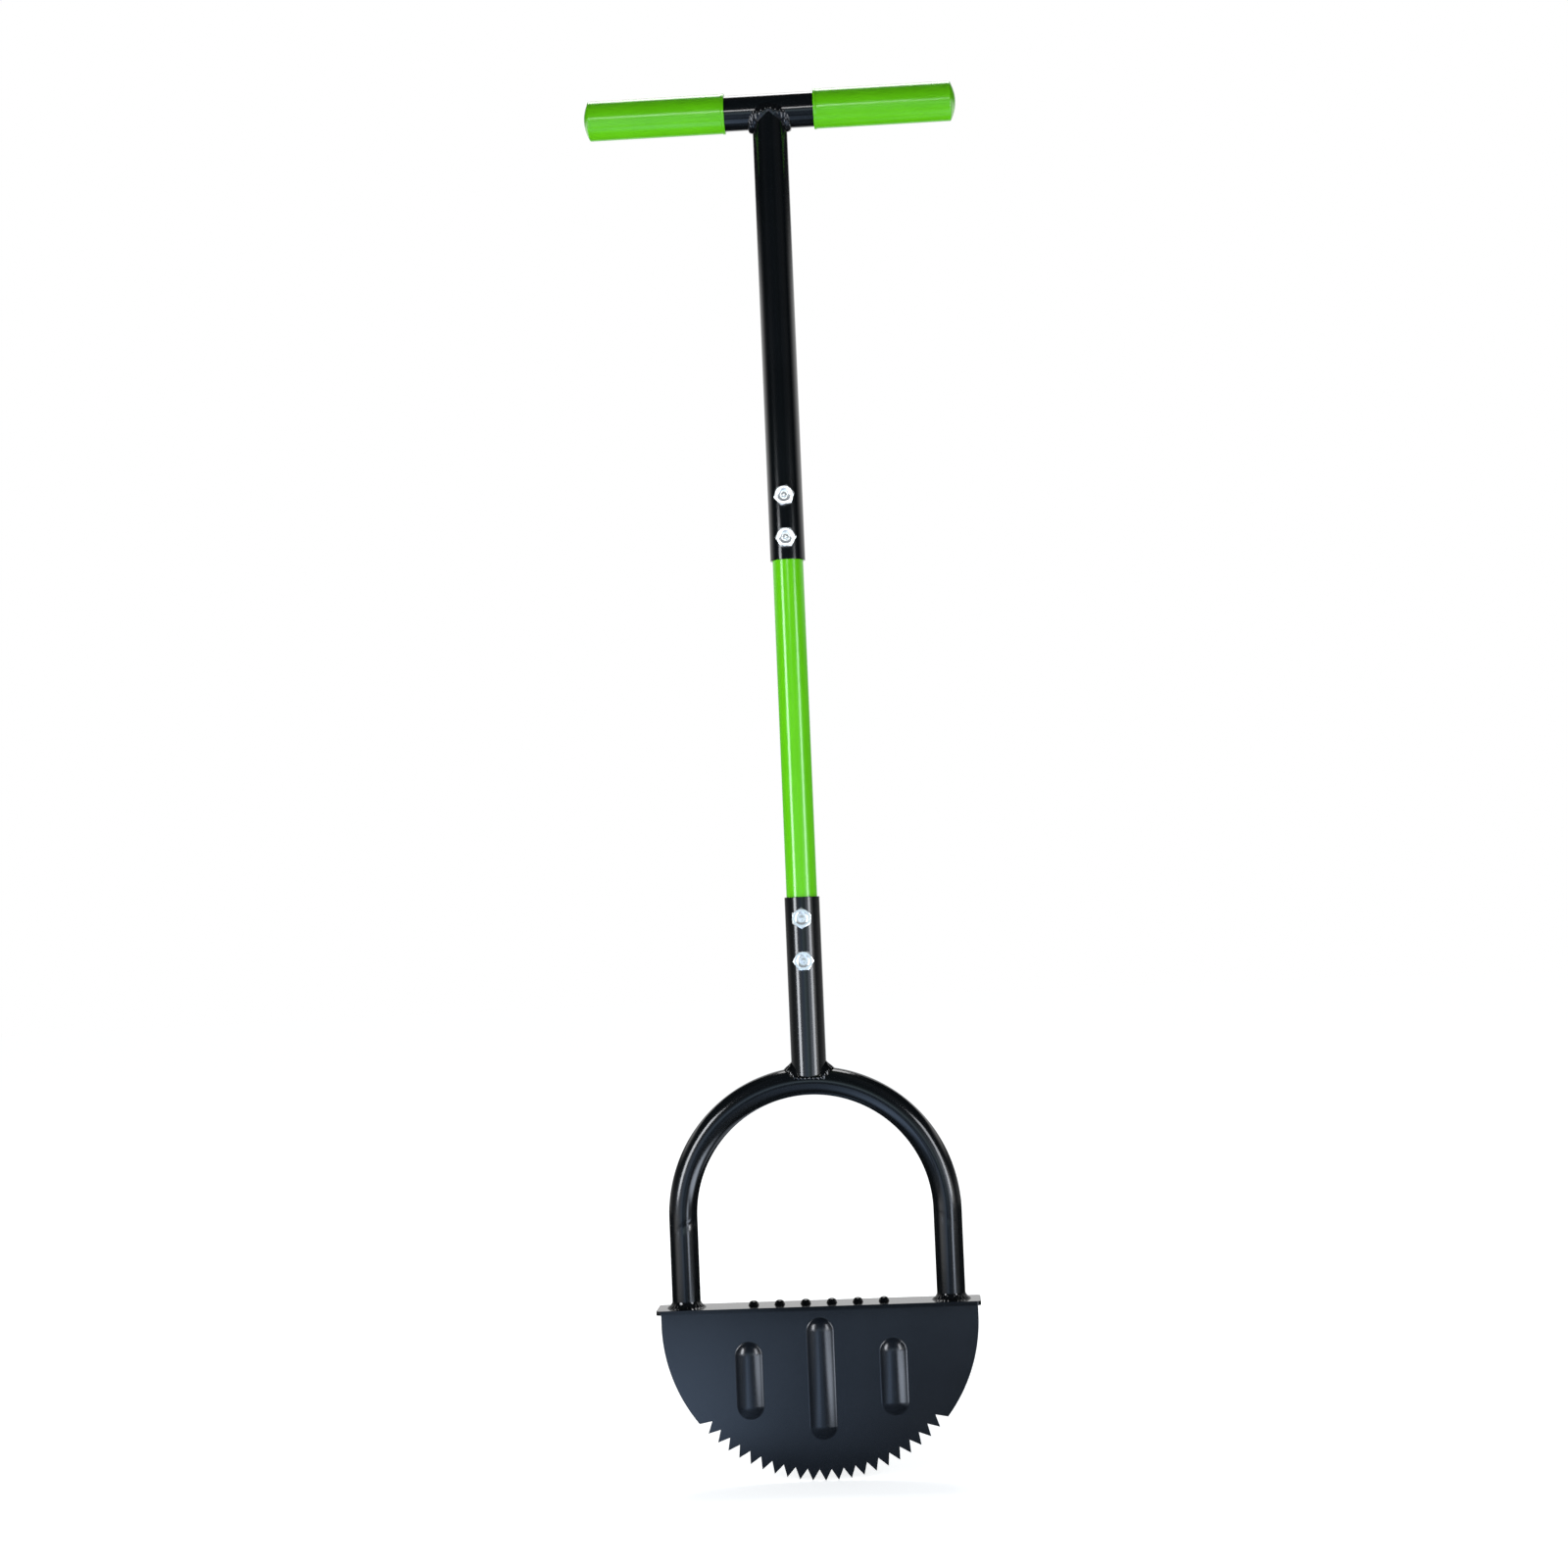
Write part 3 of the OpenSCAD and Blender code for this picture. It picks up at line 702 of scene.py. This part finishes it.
for point in hoop_tube.data.vertices:
    side = math.copysign(1, point.co.x)
    spoke = Vector((point.co.x - side * hoop_r, point.co.y, 0))
    inward, forward = -side * spoke.x, -spoke.y / hoop_tube_r
    line = (point.co.z - (arc_z - CREASE_DROP) - CREASE_SLANT * inward) / CREASE_WIDTH
    if point.co.z < arc_z and forward > 0:
        share = (1 + inward / hoop_tube_r) / 2
        fall = forward**CREASE_FADE
        point.co -= spoke.normalized() * CREASE_DEPTH[side] * share * fall * math.exp(-line * line)
modify(hoop_tube, "SOLIDIFY", thickness=HOOP_WALL, offset=-1)
done(hoop_tube, "hoop_tube", black_enamel, "black_enamel", "hoop", angle=50)

# %% [markdown]
# ## Pressed sheet
# The blade and the foot plate are sheet steel with raised ribs and knobs. The outline is a loop of edges.
# Every rib starts as a filled face, which is inset ring by ring, and each ring is lifted to the next height
# of a smooth profile. A boolean would leave a sharp corner round each rib. Fill then closes the sheet between
# the outline and the ribs, and Solidify gives it its thickness.

# %% Helpers for pressed sheet
PRESS_RINGS, PRESS_POINTS, PRESS_SHARE, PRESS_CROWD = 14, 48, 0.94, 1.4
# How far a face's normal points up or down, from 0 to 1: a level face has more, an upright one less.
LEVEL, UPRIGHT = 0.5, 0.05


def pressed_boss(place, half_width, straight, rise, swell):
    """A raised rib or knob on the XY plane: a disc, pulled long, then inset and lifted in rings."""
    boss = made(bpy.ops.mesh.primitive_circle_add, vertices=PRESS_POINTS, radius=half_width, fill_type="NGON",
                location=(*place, 0), rotation=(0, 0, math.pi / PRESS_POINTS))
    open_up(boss)
    for way in (1, -1):
        pick(boss, "VERT", lambda v: way * (v.co.y - place[1]) > CLOSE)
        bpy.ops.transform.translate(value=(0, way * straight / 2, 0))
    bpy.ops.mesh.select_mode(type="FACE")
    bpy.ops.mesh.select_all(action="SELECT")
    inside, height = 0.0, 0.0
    for ring in range(1, PRESS_RINGS + 1):
        share = PRESS_SHARE * (ring / PRESS_RINGS) ** PRESS_CROWD
        lifted = rise * swell(share)
        bpy.ops.mesh.inset(thickness=half_width * (share - inside), depth=lifted - height)
        inside, height = share, lifted
    start_clean(boss)
    return boss


def pressed_sheet(outline, bosses, thickness, rim_bevel):
    """Fill the sheet between an outline and its bosses, thicken it downwards and break its edges."""
    start_clean(outline)
    for boss in bosses:
        boss.select_set(True)
    bpy.ops.object.join()
    open_up(outline)
    pick(outline, "EDGE", lambda e: len(e.link_faces) < 2)
    bpy.ops.mesh.fill(use_beauty=True)
    close_up(outline, CLOSE / 10)
    if sum(face.normal.z * face.area for face in outline.data.polygons) < 0:
        open_up(outline)
        bpy.ops.mesh.flip_normals()
        start_clean(outline)
    modify(outline, "SOLIDIFY", thickness=thickness, offset=-1, use_even_offset=True)
    open_up(outline)
    pick(outline, "EDGE", lambda e: len(e.link_faces) == 2
         and sorted(abs(f.normal.z) > LEVEL for f in e.link_faces) == [False, True]
         and min(abs(f.normal.z) for f in e.link_faces) < UPRIGHT)
    bpy.ops.mesh.bevel(offset=rim_bevel, segments=2, affect="EDGES", clamp_overlap=True)
    start_clean(outline)
    return outline


# %% [markdown]
# ## Blade
# The blade is a half disc of 2.5 mm steel with teeth punched along its lower edge and three ribs pressed
# towards the front. A circle has just enough points for two on each tooth: every other one is drawn in to
# make a notch. The sheet is made flat, with the front up, and then stood on its teeth.

# %% Punch the blade
BLADE_T = 2.5 * MM
NOTCHES, NOTCH_DEPTH, CIRCLE_POINTS = 22, 8.0 * MM, 154
RIB_WIDTH, RIB_RISE, RIB_PITCH, RIB_DROP = 20.2 * MM, 4.0 * MM, 51.0 * MM, 49.5 * MM
RIB_LENGTHS = (55.0 * MM, 86.0 * MM, 55.0 * MM)

outline = made(bpy.ops.mesh.primitive_circle_add, vertices=CIRCLE_POINTS, radius=blade_r,
               location=(0, blade_r, 0))
open_up(outline)


def steps_round(v):
    """How many points of the circle lie between the lowest one and this one."""
    return round(math.atan2(v.co.x, blade_r - v.co.y) / (2 * math.pi / CIRCLE_POINTS))


notches = pick(outline, "VERT", lambda v: abs(steps_round(v)) < NOTCHES and steps_round(v) % 2 == 1)
keep = 1 - NOTCH_DEPTH / blade_r
bpy.ops.transform.resize(value=(keep, keep, 1), center_override=(0, blade_r, 0))
pick(outline, "VERT", lambda v: abs(steps_round(v)) > CIRCLE_POINTS // 4)
bpy.ops.mesh.delete(type="VERT")
pick(outline, "VERT", lambda v: len(v.link_edges) == 1)
side_low = max(v.co.y for v in bmesh.from_edit_mesh(outline.data).verts)
bpy.ops.mesh.extrude_region_move(TRANSFORM_OT_translate={"value": (0, plate_low - side_low, 0)})
bpy.ops.mesh.edge_face_add()
start_clean(outline)
print("notches:", notches)


# %% Press the ribs and stand the blade up
RIB_FILLET, TOOTH_BREAK = 2.0 * MM, 0.25 * MM


def rib_swell(share):
    """The height of a rib from its foot (0) to its crest (1): a round crown above a small fillet."""
    half, fillet = RIB_WIDTH / 2, RIB_FILLET
    crown = (half**2 + RIB_RISE**2 - 2 * fillet * RIB_RISE) / (2 * RIB_RISE)
    across = half * (1 - share)
    if across < crown * half / (crown + fillet):
        return 1 - (crown - math.sqrt(crown**2 - across**2)) / RIB_RISE
    return (fillet - math.sqrt(fillet**2 - (half - across) ** 2)) / RIB_RISE


ribs = []
for i, length in enumerate(RIB_LENGTHS):
    middle = (RIB_PITCH * (i - 1), plate_low - RIB_DROP)
    ribs.append(pressed_boss(middle, RIB_WIDTH / 2, length - RIB_WIDTH, RIB_RISE, rib_swell))
half_moon = pressed_sheet(outline, ribs, BLADE_T, TOOTH_BREAK)
half_moon.rotation_euler = ALONG_Y
half_moon.location = (0, -BLADE_T / 2, 0)
done(half_moon, "half_moon_blade", blade_enamel_painted_sheen, "black_enamel", "blade")

# %% [markdown]
# ## Foot plate
# The foot plate is a strip of 3 mm steel with rounded corners and a row of six round knobs, pressed up from
# below so that a boot doesn't slip. It is made in the same way, already lying flat.

# %% Press the foot plate
PLATE_CORNER, PLATE_EDGE = 3.0 * MM, 0.8 * MM
KNOBS, KNOB_PITCH, KNOB_R, KNOB_EXTRA = 6, 18.4 * MM, 3.9 * MM, 0.8 * MM
KNOB_SHAPE, KNOB_FOOT = 2.2, 0.25

knob_rise = reach("foot_plate", 2)[1] - plate_top + KNOB_EXTRA


def knob_swell(share):
    """The height of a knob from its foot to its top: a round dome with a small fillet at the foot."""
    across = 1 - share
    return math.sqrt(max(0.0, 1 - across**KNOB_SHAPE)) * min(1.0, share / KNOB_FOOT) ** 0.5


strip = made(bpy.ops.mesh.primitive_plane_add, size=1)
strip.scale = (2 * plate_half_w, 2 * plate_half_d, 1)
settle(strip)
open_up(strip)
bpy.ops.mesh.bevel(offset=PLATE_CORNER, segments=6, affect="VERTICES")
bpy.ops.mesh.delete(type="ONLY_FACE")
start_clean(strip)
middles = [(KNOB_PITCH * (i - (KNOBS - 1) / 2), 0) for i in range(KNOBS)]
knobs = [pressed_boss(middle, KNOB_R, 0, knob_rise, knob_swell) for middle in middles]
tread_plate = pressed_sheet(strip, knobs, plate_top - plate_low, PLATE_EDGE)
tread_plate.location = (0, 0, plate_top)
done(tread_plate, "tread_plate", black_enamel, "black_enamel", "foot_plate")

# %% [markdown]
# ## Flags
# A flat glossy plate is a mirror. Seen from behind it would show the two side boxes as plain white, and the
# front strip would draw a stray line down the upper tube. A photographer puts up a flag, a small black card
# that keeps a lamp off a piece. Here a lamp is told which piece to leave out.


# %% Put up the flags
def flag(piece, *lamps):
    """Keep these lamps off a piece."""
    kept_off = bpy.data.collections.new(f"flag_on_{piece}")
    kept_off.objects.link(bpy.data.objects[piece])
    kept_off.collection_objects[0].light_linking.link_state = "EXCLUDE"
    for lamp in lamps:
        bpy.data.objects[lamp].light_linking.receiver_collection = kept_off
    print("flagged:", piece, "from", lamps)


flag("tread_plate", "left_strip", "right_box")
flag("upper_shaft", "front_strip")

# %% [markdown]
# ## Welds
# A weld fills the corner between two surfaces and sets in small overlapping scales. Its run is a ring, so it
# starts as a torus. Each ring of the torus is moved to its station on the joint: from an edge on the first
# surface across the corner to an edge on the second, with a bulge that swells and falls once for each scale.
# A plain round bead would look like a rope instead.

# %% Helpers for welds
WELD_ACROSS, WELD_INSIDE, WELD_BURY = 15, 3, 0.4 * MM
SCALE_PITCH, SCALE_RISE, SCALE_SHAPE = 3.7 * MM, 0.5 * MM, 0.7


def scales(run):
    """The swell of a weld along its run: 0 between two scales and 1 in the middle of one."""
    return abs(math.sin(math.pi * run / SCALE_PITCH)) ** SCALE_SHAPE


def weld_run(station, count):
    """Bend a torus to a weld. station(angle) gives its two edges, its root, the way out and a bulge."""
    bead = made(bpy.ops.mesh.primitive_torus_add, major_segments=count, minor_segments=WELD_ACROSS)
    outside = WELD_ACROSS - WELD_INSIDE
    run, last = 0.0, None
    for i in range(count):
        edge_a, edge_b, root, out, bulge = station(2 * math.pi * i / count)
        run += (edge_b - last).length if last else 0.0
        last = edge_b
        ripple = SCALE_RISE * (scales(run) - 0.5)
        for k in range(WELD_ACROSS):
            if k < outside:
                share = k / (outside - 1)
                swell = bulge + ripple * 2 * share
                place = edge_a.lerp(edge_b, share) + out * swell * math.sin(math.pi * share)
            else:
                back = (k - outside + 1) / (WELD_INSIDE + 1)
                place = edge_b.lerp(edge_a, back).lerp(root, 1 - abs(2 * back - 1)) - out * WELD_BURY
            bead.data.vertices[i * WELD_ACROSS + k].co = place
    open_up(bead)
    close_up(bead)
    return bead


# %% Weld the crossbar on
CROSS_RISE, CROSS_WIDE, CROSS_TOE, CROSS_BULGE = 2.9 * MM, 13.2 * MM, 2.3 * MM, 0.9 * MM
CROSS_HANG, CROSS_DROP, CROSS_ARCH, CROSS_ROOT = 1.2 * MM, 1.8 * MM, 2.2, 0.8


def cross_station(angle):
    """A station on the saddle. The bead's lower edge follows the saddle, and its upper edge an arch."""
    along, across = math.cos(angle), math.sin(angle)
    side = abs(along)
    hang = CROSS_HANG + CROSS_DROP * (side**6 + abs(across) ** 6)
    low = Vector((shaft_r * along, shaft_r * across, bar_z - bar_r * side - hang))
    rise = -bar_r + (bar_r + CROSS_RISE) * math.sqrt(max(0.0, 1 - side**CROSS_ARCH))
    depth = math.copysign(math.sqrt(max(0.0, bar_r**2 - rise**2)), across)
    high = Vector(((CROSS_WIDE + CROSS_TOE * side**4) * along, depth, bar_z + rise))
    root = Vector((shaft_r * along, CROSS_ROOT * shaft_r * across, bar_z - bar_r * side))
    out = Vector((along, across + depth / bar_r, rise / bar_r)).normalized()
    return low, high, root, out, CROSS_BULGE


done(weld_run(cross_station, count=256), "crossbar_bead", weld_enamel, "weld_enamel", "crossbar_weld",
     angle=50)

# %% Weld the socket to the hoop
SOCKET_LEG_UP, SOCKET_LEG_OUT = 4.6 * MM, 5.6 * MM
LIP_BEAD, LIP_BULGE, SIDE_HOLLOW, SIDE_SHAPE, CORNER_BULGE = 0.9 * MM, 0.25 * MM, 0.7 * MM, 1.5, 1.3 * MM


def socket_station(angle):
    """A station on the joint of the socket and the hoop. In front the socket's rim hangs past the hoop."""
    x, y = shaft_r * math.cos(angle), shaft_r * math.sin(angle)
    lip = socket_low - (hoop_top - hoop_tube_r)
    reach_y = math.sqrt(hoop_tube_r**2 - lip**2)
    on_hoop = max(-reach_y, min(reach_y, y))
    lift = math.sqrt(hoop_tube_r**2 - on_hoop**2)
    ring = hoop_r + lift
    z = arc_z + math.sqrt(ring**2 - x**2)
    outward = Vector((x, y, 0)).normalized()
    normal_hoop = Vector((lift * x / ring, on_hoop, lift * (z - arc_z) / ring)).normalized()
    down_hoop = (outward - normal_hoop * outward.dot(normal_hoop)).normalized()
    full = abs(math.cos(angle)) ** SIDE_SHAPE
    up, out = (LIP_BEAD + (size - LIP_BEAD) * full for size in (SOCKET_LEG_UP, SOCKET_LEG_OUT))
    root = Vector((x, y, z))
    bulge = LIP_BULGE - SIDE_HOLLOW * full + CORNER_BULGE * math.sin(2 * angle) ** 2
    way_out = (outward + normal_hoop).normalized()
    return root + Vector((0, 0, up)), root + down_hoop * out, root, way_out, bulge


done(weld_run(socket_station, count=256), "socket_bead", weld_enamel, "weld_enamel", "socket_weld", angle=50)

# %% Weld the legs to the foot plate
LEG_FILLET_UP, LEG_FILLET_OUT, LEG_BULGE = 4.8 * MM, 4.2 * MM, -0.9 * MM

for side, name, node in ((-1, "left_leg_fillet", "leg_weld_left"), (1, "right_leg_fillet", "leg_weld_right")):

    def leg_station(angle):
        """A station round the foot of a leg."""
        outward, upward = Vector((math.cos(angle), math.sin(angle), 0)), Vector((0, 0, 1))
        root = Vector((side * hoop_r, 0, plate_top)) + hoop_tube_r * outward
        return (root + LEG_FILLET_UP * upward, root + LEG_FILLET_OUT * outward, root,
                (outward + upward).normalized(), LEG_BULGE)

    done(weld_run(leg_station, count=240), name, weld_enamel, "weld_enamel", node, angle=50)

# %% Weld the blade to the foot plate, behind
REAR_BEAD, REAR_SIDES, REAR_CUTS, REAR_RIPPLE = 3.0 * MM, 24, 280, 0.14

bead_half = reach("blade_weld", 0)[1]
blade_fillet = rod(REAR_BEAD, (0, blade_back, plate_low), 2 * bead_half, ALONG_X, REAR_SIDES)
open_up(blade_fillet)
pick(blade_fillet, "EDGE", lambda e: abs(e.verts[0].co.x - e.verts[1].co.x) > bead_half)
bpy.ops.mesh.subdivide(number_cuts=REAR_CUTS)
start_clean(blade_fillet)
for point in blade_fillet.data.vertices:
    scale = 1 - REAR_RIPPLE + REAR_RIPPLE * scales(point.co.x)
    point.co.y = blade_back + (point.co.y - blade_back) * scale
    point.co.z = plate_low + (point.co.z - plate_low) * scale
for place, normal in (((0, blade_back, 0), (0, 1, 0)), ((0, 0, plate_low), (0, 0, -1))):
    open_up(blade_fillet)
    bpy.ops.mesh.bisect(plane_co=place, plane_no=normal, clear_inner=True, use_fill=True)
done(blade_fillet, "blade_fillet", weld_enamel, "weld_enamel", "blade_weld", angle=50)

# %% [markdown]
# ## Bolts, washers and nuts
# Each joint has two M8 bolts with the heads in front, and a spring washer and a nut behind. A hexagon's
# corners are rounded off where it was chamfered, which a straight bevel can't show, so the hexagon is
# intersected with a turned blank. One of each is modelled upright at the origin, with the bolt's head up, and
# copied to its place.

# %% Model one bolt
FLATS, FACE_SHARE, BLANK_SHARE, CHAMFER = 13.0 * MM, 0.48, 1.05, 30
PITCH, THREAD_DEPTH, THREAD_LENGTH = 1.25 * MM, 0.6 * MM, 12.0 * MM
SHANK_BURY, TAIL_BREAK = 0.5 * MM, 0.2 * MM
# The dished top of a head, in millimetres: a radius and the height over the rim.
DISH = [(0.3, -0.35), (1.2, -0.4), (2.2, -0.6), (3.2, -0.58), (4.2, -0.3), (4.75, 0.02)]

head_front, tail_back = reach("bolt_1", 1)
head_h = -shaft_r - head_front
tail = tail_back + shaft_r
corner_r = FLATS / math.sqrt(3)


def hexagon(low, high, both_ends):
    """A hexagonal blank with its corners chamfered at the top, or at both ends."""
    piece = made(bpy.ops.mesh.primitive_cylinder_add, vertices=6, radius=corner_r, depth=high - low,
                 location=(0, 0, (low + high) / 2), rotation=(0, 0, math.pi / 6))
    face_r, blank_r = FACE_SHARE * FLATS, corner_r * BLANK_SHARE
    cone = (blank_r - face_r) * math.tan(math.radians(CHAMFER))
    bottom = [(face_r, low), (blank_r, low + cone)] if both_ends else [(blank_r, low)]
    carve(piece, turned(bottom + [(blank_r, high - cone), (face_r, high)]), "INTERSECT")
    return piece


bolt = hexagon(0, head_h, False)
carve(bolt, turned([(radius * MM, head_h + rise * MM) for radius, rise in DISH]))
shank = [(BOLT_R, SHANK_BURY), (BOLT_R, -(tail - THREAD_LENGTH))]
for turn_no in range(int(THREAD_LENGTH / PITCH)):
    start = tail - THREAD_LENGTH + turn_no * PITCH
    shank += [(BOLT_R - THREAD_DEPTH, -(start + PITCH / 2)), (BOLT_R, -(start + PITCH))]
shank += [(BOLT_R - THREAD_DEPTH - TAIL_BREAK, -tail)]
carve(bolt, turned(shank, sides=48), "UNION")
print("bolt length under the head in mm:", round(tail / MM, 1))

# %% Model one washer and one nut
SLIT_WIDTH, SLIT_TILT = 1.5 * MM, 35

washer_r = max(abs(v) for v in reach("spring_washer_1", 0))
washer_low, washer_high = reach("spring_washer_1", 1)
nut_low, nut_high = reach("hex_nut_1", 1)
hole_r, washer_t = BOLT_R + HOLE_SLACK, washer_high - washer_low

washer = turned([(hole_r, 0), (washer_r, 0), (washer_r, washer_t), (hole_r, washer_t)], sides=64, ring=True)
start_clean()
bpy.ops.mesh.primitive_cube_add(size=1, location=(0, washer_r, 0), rotation=(0, math.radians(SLIT_TILT), 0))
slit = bpy.context.object
slit.scale = (SLIT_WIDTH, 2 * washer_r - BOLT_R, 4 * washer_t)
settle(slit)
carve(washer, slit)

nut = hexagon(0, nut_high - nut_low, True)
carve(nut, rod(hole_r, (0, 0, 0), 8 * BOLT_R))
print("washer and nut height in mm:", round(washer_t / MM, 2), round((nut_high - nut_low) / MM, 2))

# %% Copy them to their places
HEAD_TURNS, WASHER_TURN, NUT_TURN = (12, 0, 30, 0), 40, 17


def fit_copy(model, name, turn, y, z, flip, node):
    """Copy a fastener, turn it about its axis and lay it along Y, with its top to the front or the back."""
    copy = model.copy()
    copy.data = model.data.copy()
    scene.collection.objects.link(copy)
    copy.data.transform(Matrix.Rotation(math.radians(turn), 4, "Z"))
    copy.rotation_euler = (-math.pi / 2 if flip else math.pi / 2, 0, 0)
    copy.location = (0, y, z)
    done(copy, name, zinc, "zinc", node, angle=25)


for i, z in enumerate(bolt_heights, 1):
    fit_copy(bolt, f"hex_bolt_{i}", HEAD_TURNS[i - 1], -shaft_r, z, False, f"bolt_{i}")
    fit_copy(washer, f"lock_washer_{i}", WASHER_TURN * i, washer_low, z, True, f"spring_washer_{i}")
    fit_copy(nut, f"plain_nut_{i}", NUT_TURN * i, nut_low, z, True, f"hex_nut_{i}")
for model in (bolt, washer, nut):
    bpy.data.objects.remove(model)
